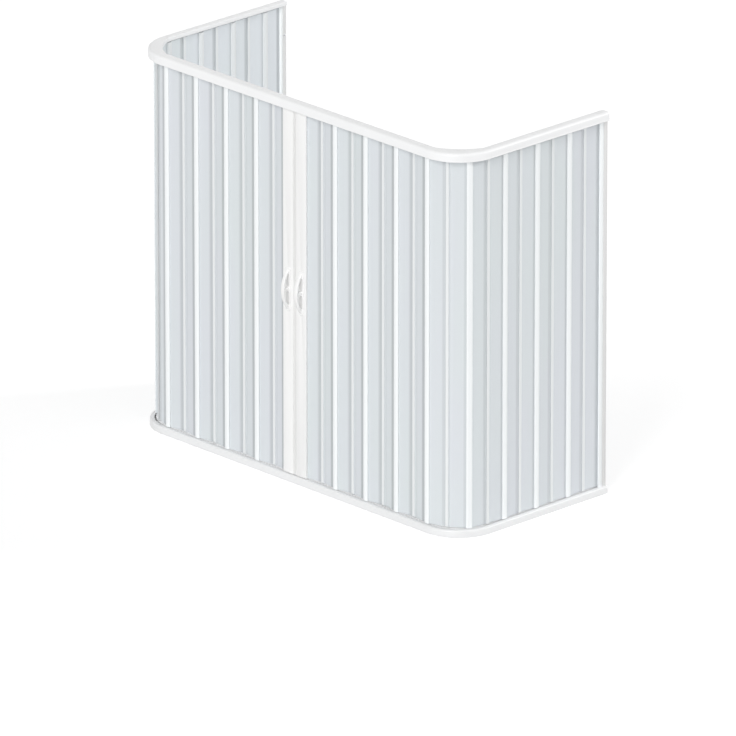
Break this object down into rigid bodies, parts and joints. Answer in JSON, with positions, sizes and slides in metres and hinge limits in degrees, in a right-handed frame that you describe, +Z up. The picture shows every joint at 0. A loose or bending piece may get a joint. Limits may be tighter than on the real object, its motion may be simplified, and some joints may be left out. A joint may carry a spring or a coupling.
{
  "type": "bath enclosure",
  "caption": "Three-sided concertina bath enclosure: upright slats on hinge strips fold towards the rounded corners from closing posts that meet mid-front, in slotted top and bottom rails.",
  "frame": {"origin": "middle of the enclosure's box in X and Y, on the plane of the bath rim that the bottom rail stands on", "axes": "+X along the front to the right as seen from outside the bath, +Y towards the wall, +Z up"},
  "size_m": [1.6, 0.718, 1.36],
  "materials": {
    "rail_pvc": "satin white plastic",
    "profile_pvc": "satin white plastic",
    "strip_pvc": "satin white plastic",
    "slat_pvc": "translucent pale plastic, finely ribbed",
    "post_pvc": "satin white plastic",
    "seal_pvc": "soft plastic",
    "handle_plastic": "gloss white plastic",
    "runner_nylon": "plain moulded nylon",
    "screw_steel": "plain"
  },
  "bodies": {
    "frame": {"top_rail_front": "rail_pvc", "top_rail_corners": "rail_pvc", "top_rail_sides": "rail_pvc", "bottom_rail_front": "rail_pvc", "bottom_rail_corners": "rail_pvc", "bottom_rail_sides": "rail_pvc", "rail_end_plugs": "rail_pvc", "wall_channels": "profile_pvc", "wall_jambs": "profile_pvc", "jamb_screws": "screw_steel", "side_guides": "runner_nylon", "side_slats_left": "slat_pvc", "side_slats_right": "slat_pvc", "side_strips_left": "strip_pvc", "side_strips_right": "strip_pvc"},
    "slat_left_1": {"slat_left_1": "slat_pvc"},
    "knee_left_1": {"knee_strip_left_1": "strip_pvc"},
    "slat_left_2": {"slat_left_2": "slat_pvc"},
    "carrier_left_1": {"carrier_strip_left_1": "strip_pvc", "guides_left_1": "runner_nylon"},
    "slat_left_3": {"slat_left_3": "slat_pvc"},
    "knee_left_2": {"knee_strip_left_2": "strip_pvc"},
    "slat_left_4": {"slat_left_4": "slat_pvc"},
    "carrier_left_2": {"carrier_strip_left_2": "strip_pvc", "guides_left_2": "runner_nylon"},
    "slat_left_5": {"slat_left_5": "slat_pvc"},
    "knee_left_3": {"knee_strip_left_3": "strip_pvc"},
    "slat_left_6": {"slat_left_6": "slat_pvc"},
    "carrier_left_3": {"carrier_strip_left_3": "strip_pvc", "guides_left_3": "runner_nylon"},
    "slat_left_7": {"slat_left_7": "slat_pvc"},
    "knee_left_4": {"knee_strip_left_4": "strip_pvc"},
    "slat_left_8": {"slat_left_8": "slat_pvc"},
    "post_left": {"closing_post_left": "post_pvc", "magnet_seal_left": "seal_pvc", "handle_left": "handle_plastic", "guides_left_4": "runner_nylon"},
    "slat_right_1": {"slat_right_1": "slat_pvc"},
    "knee_right_1": {"knee_strip_right_1": "strip_pvc"},
    "slat_right_2": {"slat_right_2": "slat_pvc"},
    "carrier_right_1": {"carrier_strip_right_1": "strip_pvc", "guides_right_1": "runner_nylon"},
    "slat_right_3": {"slat_right_3": "slat_pvc"},
    "knee_right_2": {"knee_strip_right_2": "strip_pvc"},
    "slat_right_4": {"slat_right_4": "slat_pvc"},
    "carrier_right_2": {"carrier_strip_right_2": "strip_pvc", "guides_right_2": "runner_nylon"},
    "slat_right_5": {"slat_right_5": "slat_pvc"},
    "knee_right_3": {"knee_strip_right_3": "strip_pvc"},
    "slat_right_6": {"slat_right_6": "slat_pvc"},
    "carrier_right_3": {"carrier_strip_right_3": "strip_pvc", "guides_right_3": "runner_nylon"},
    "slat_right_7": {"slat_right_7": "slat_pvc"},
    "knee_right_4": {"knee_strip_right_4": "strip_pvc"},
    "slat_right_8": {"slat_right_8": "slat_pvc"},
    "post_right": {"closing_post_right": "post_pvc", "magnet_seal_right": "seal_pvc", "handle_right": "handle_plastic", "guides_right_4": "runner_nylon"}
  },
  "joints": [
    {"name": "slat_left_1_hinge", "type": "hinge", "parent": "frame", "child": "slat_left_1", "pos_m": [-0.628, -0.32184, 0.68], "axis": [0, 0, 1], "range_deg": [0, 69]},
    {"name": "knee_left_1_hinge", "type": "hinge", "parent": "slat_left_1", "child": "knee_left_1", "pos_m": [-0.56725, -0.31222, 0.68], "axis": [0, 0, -1], "range_deg": [0, 69]},
    {"name": "slat_left_2_hinge", "type": "hinge", "parent": "knee_left_1", "child": "slat_left_2", "pos_m": [-0.55425, -0.31222, 0.68], "axis": [0, 0, -1], "range_deg": [0, 69]},
    {"name": "carrier_left_1_hinge", "type": "hinge", "parent": "slat_left_2", "child": "carrier_left_1", "pos_m": [-0.4935, -0.32184, 0.68], "axis": [0, 0, 1], "range_deg": [0, 69]},
    {"name": "slat_left_3_hinge", "type": "hinge", "parent": "carrier_left_1", "child": "slat_left_3", "pos_m": [-0.4805, -0.32184, 0.68], "axis": [0, 0, 1], "range_deg": [0, 69]},
    {"name": "knee_left_2_hinge", "type": "hinge", "parent": "slat_left_3", "child": "knee_left_2", "pos_m": [-0.41975, -0.31222, 0.68], "axis": [0, 0, -1], "range_deg": [0, 69]},
    {"name": "slat_left_4_hinge", "type": "hinge", "parent": "knee_left_2", "child": "slat_left_4", "pos_m": [-0.40675, -0.31222, 0.68], "axis": [0, 0, -1], "range_deg": [0, 69]},
    {"name": "carrier_left_2_hinge", "type": "hinge", "parent": "slat_left_4", "child": "carrier_left_2", "pos_m": [-0.346, -0.32184, 0.68], "axis": [0, 0, 1], "range_deg": [0, 69]},
    {"name": "slat_left_5_hinge", "type": "hinge", "parent": "carrier_left_2", "child": "slat_left_5", "pos_m": [-0.333, -0.32184, 0.68], "axis": [0, 0, 1], "range_deg": [0, 69]},
    {"name": "knee_left_3_hinge", "type": "hinge", "parent": "slat_left_5", "child": "knee_left_3", "pos_m": [-0.27225, -0.31222, 0.68], "axis": [0, 0, -1], "range_deg": [0, 69]},
    {"name": "slat_left_6_hinge", "type": "hinge", "parent": "knee_left_3", "child": "slat_left_6", "pos_m": [-0.25925, -0.31222, 0.68], "axis": [0, 0, -1], "range_deg": [0, 69]},
    {"name": "carrier_left_3_hinge", "type": "hinge", "parent": "slat_left_6", "child": "carrier_left_3", "pos_m": [-0.1985, -0.32184, 0.68], "axis": [0, 0, 1], "range_deg": [0, 69]},
    {"name": "slat_left_7_hinge", "type": "hinge", "parent": "carrier_left_3", "child": "slat_left_7", "pos_m": [-0.1855, -0.32184, 0.68], "axis": [0, 0, 1], "range_deg": [0, 69]},
    {"name": "knee_left_4_hinge", "type": "hinge", "parent": "slat_left_7", "child": "knee_left_4", "pos_m": [-0.12475, -0.31222, 0.68], "axis": [0, 0, -1], "range_deg": [0, 69]},
    {"name": "slat_left_8_hinge", "type": "hinge", "parent": "knee_left_4", "child": "slat_left_8", "pos_m": [-0.11175, -0.31222, 0.68], "axis": [0, 0, -1], "range_deg": [0, 69]},
    {"name": "fold_left", "type": "hinge", "parent": "slat_left_8", "child": "post_left", "pos_m": [-0.051, -0.32184, 0.68], "axis": [0, 0, 1], "range_deg": [0, 69]},
    {"name": "slat_right_1_hinge", "type": "hinge", "parent": "frame", "child": "slat_right_1", "pos_m": [0.628, -0.32184, 0.68], "axis": [0, 0, -1], "range_deg": [0, 69]},
    {"name": "knee_right_1_hinge", "type": "hinge", "parent": "slat_right_1", "child": "knee_right_1", "pos_m": [0.56725, -0.31222, 0.68], "axis": [0, 0, 1], "range_deg": [0, 69]},
    {"name": "slat_right_2_hinge", "type": "hinge", "parent": "knee_right_1", "child": "slat_right_2", "pos_m": [0.55425, -0.31222, 0.68], "axis": [0, 0, 1], "range_deg": [0, 69]},
    {"name": "carrier_right_1_hinge", "type": "hinge", "parent": "slat_right_2", "child": "carrier_right_1", "pos_m": [0.4935, -0.32184, 0.68], "axis": [0, 0, -1], "range_deg": [0, 69]},
    {"name": "slat_right_3_hinge", "type": "hinge", "parent": "carrier_right_1", "child": "slat_right_3", "pos_m": [0.4805, -0.32184, 0.68], "axis": [0, 0, -1], "range_deg": [0, 69]},
    {"name": "knee_right_2_hinge", "type": "hinge", "parent": "slat_right_3", "child": "knee_right_2", "pos_m": [0.41975, -0.31222, 0.68], "axis": [0, 0, 1], "range_deg": [0, 69]},
    {"name": "slat_right_4_hinge", "type": "hinge", "parent": "knee_right_2", "child": "slat_right_4", "pos_m": [0.40675, -0.31222, 0.68], "axis": [0, 0, 1], "range_deg": [0, 69]},
    {"name": "carrier_right_2_hinge", "type": "hinge", "parent": "slat_right_4", "child": "carrier_right_2", "pos_m": [0.346, -0.32184, 0.68], "axis": [0, 0, -1], "range_deg": [0, 69]},
    {"name": "slat_right_5_hinge", "type": "hinge", "parent": "carrier_right_2", "child": "slat_right_5", "pos_m": [0.333, -0.32184, 0.68], "axis": [0, 0, -1], "range_deg": [0, 69]},
    {"name": "knee_right_3_hinge", "type": "hinge", "parent": "slat_right_5", "child": "knee_right_3", "pos_m": [0.27225, -0.31222, 0.68], "axis": [0, 0, 1], "range_deg": [0, 69]},
    {"name": "slat_right_6_hinge", "type": "hinge", "parent": "knee_right_3", "child": "slat_right_6", "pos_m": [0.25925, -0.31222, 0.68], "axis": [0, 0, 1], "range_deg": [0, 69]},
    {"name": "carrier_right_3_hinge", "type": "hinge", "parent": "slat_right_6", "child": "carrier_right_3", "pos_m": [0.1985, -0.32184, 0.68], "axis": [0, 0, -1], "range_deg": [0, 69]},
    {"name": "slat_right_7_hinge", "type": "hinge", "parent": "carrier_right_3", "child": "slat_right_7", "pos_m": [0.1855, -0.32184, 0.68], "axis": [0, 0, -1], "range_deg": [0, 69]},
    {"name": "knee_right_4_hinge", "type": "hinge", "parent": "slat_right_7", "child": "knee_right_4", "pos_m": [0.12475, -0.31222, 0.68], "axis": [0, 0, 1], "range_deg": [0, 69]},
    {"name": "slat_right_8_hinge", "type": "hinge", "parent": "knee_right_4", "child": "slat_right_8", "pos_m": [0.11175, -0.31222, 0.68], "axis": [0, 0, 1], "range_deg": [0, 69]},
    {"name": "fold_right", "type": "hinge", "parent": "slat_right_8", "child": "post_right", "pos_m": [0.051, -0.32184, 0.68], "axis": [0, 0, -1], "range_deg": [0, 69]}
  ],
  "couplings": [
    {"joint": "slat_left_1_hinge", "follows": "fold_left", "ratio": 1},
    {"joint": "knee_left_1_hinge", "follows": "fold_left", "ratio": 1},
    {"joint": "slat_left_2_hinge", "follows": "fold_left", "ratio": 1},
    {"joint": "carrier_left_1_hinge", "follows": "fold_left", "ratio": 1},
    {"joint": "slat_left_3_hinge", "follows": "fold_left", "ratio": 1},
    {"joint": "knee_left_2_hinge", "follows": "fold_left", "ratio": 1},
    {"joint": "slat_left_4_hinge", "follows": "fold_left", "ratio": 1},
    {"joint": "carrier_left_2_hinge", "follows": "fold_left", "ratio": 1},
    {"joint": "slat_left_5_hinge", "follows": "fold_left", "ratio": 1},
    {"joint": "knee_left_3_hinge", "follows": "fold_left", "ratio": 1},
    {"joint": "slat_left_6_hinge", "follows": "fold_left", "ratio": 1},
    {"joint": "carrier_left_3_hinge", "follows": "fold_left", "ratio": 1},
    {"joint": "slat_left_7_hinge", "follows": "fold_left", "ratio": 1},
    {"joint": "knee_left_4_hinge", "follows": "fold_left", "ratio": 1},
    {"joint": "slat_left_8_hinge", "follows": "fold_left", "ratio": 1},
    {"joint": "slat_right_1_hinge", "follows": "fold_right", "ratio": 1},
    {"joint": "knee_right_1_hinge", "follows": "fold_right", "ratio": 1},
    {"joint": "slat_right_2_hinge", "follows": "fold_right", "ratio": 1},
    {"joint": "carrier_right_1_hinge", "follows": "fold_right", "ratio": 1},
    {"joint": "slat_right_3_hinge", "follows": "fold_right", "ratio": 1},
    {"joint": "knee_right_2_hinge", "follows": "fold_right", "ratio": 1},
    {"joint": "slat_right_4_hinge", "follows": "fold_right", "ratio": 1},
    {"joint": "carrier_right_2_hinge", "follows": "fold_right", "ratio": 1},
    {"joint": "slat_right_5_hinge", "follows": "fold_right", "ratio": 1},
    {"joint": "knee_right_3_hinge", "follows": "fold_right", "ratio": 1},
    {"joint": "slat_right_6_hinge", "follows": "fold_right", "ratio": 1},
    {"joint": "carrier_right_3_hinge", "follows": "fold_right", "ratio": 1},
    {"joint": "slat_right_7_hinge", "follows": "fold_right", "ratio": 1},
    {"joint": "knee_right_4_hinge", "follows": "fold_right", "ratio": 1},
    {"joint": "slat_right_8_hinge", "follows": "fold_right", "ratio": 1}
  ]
}
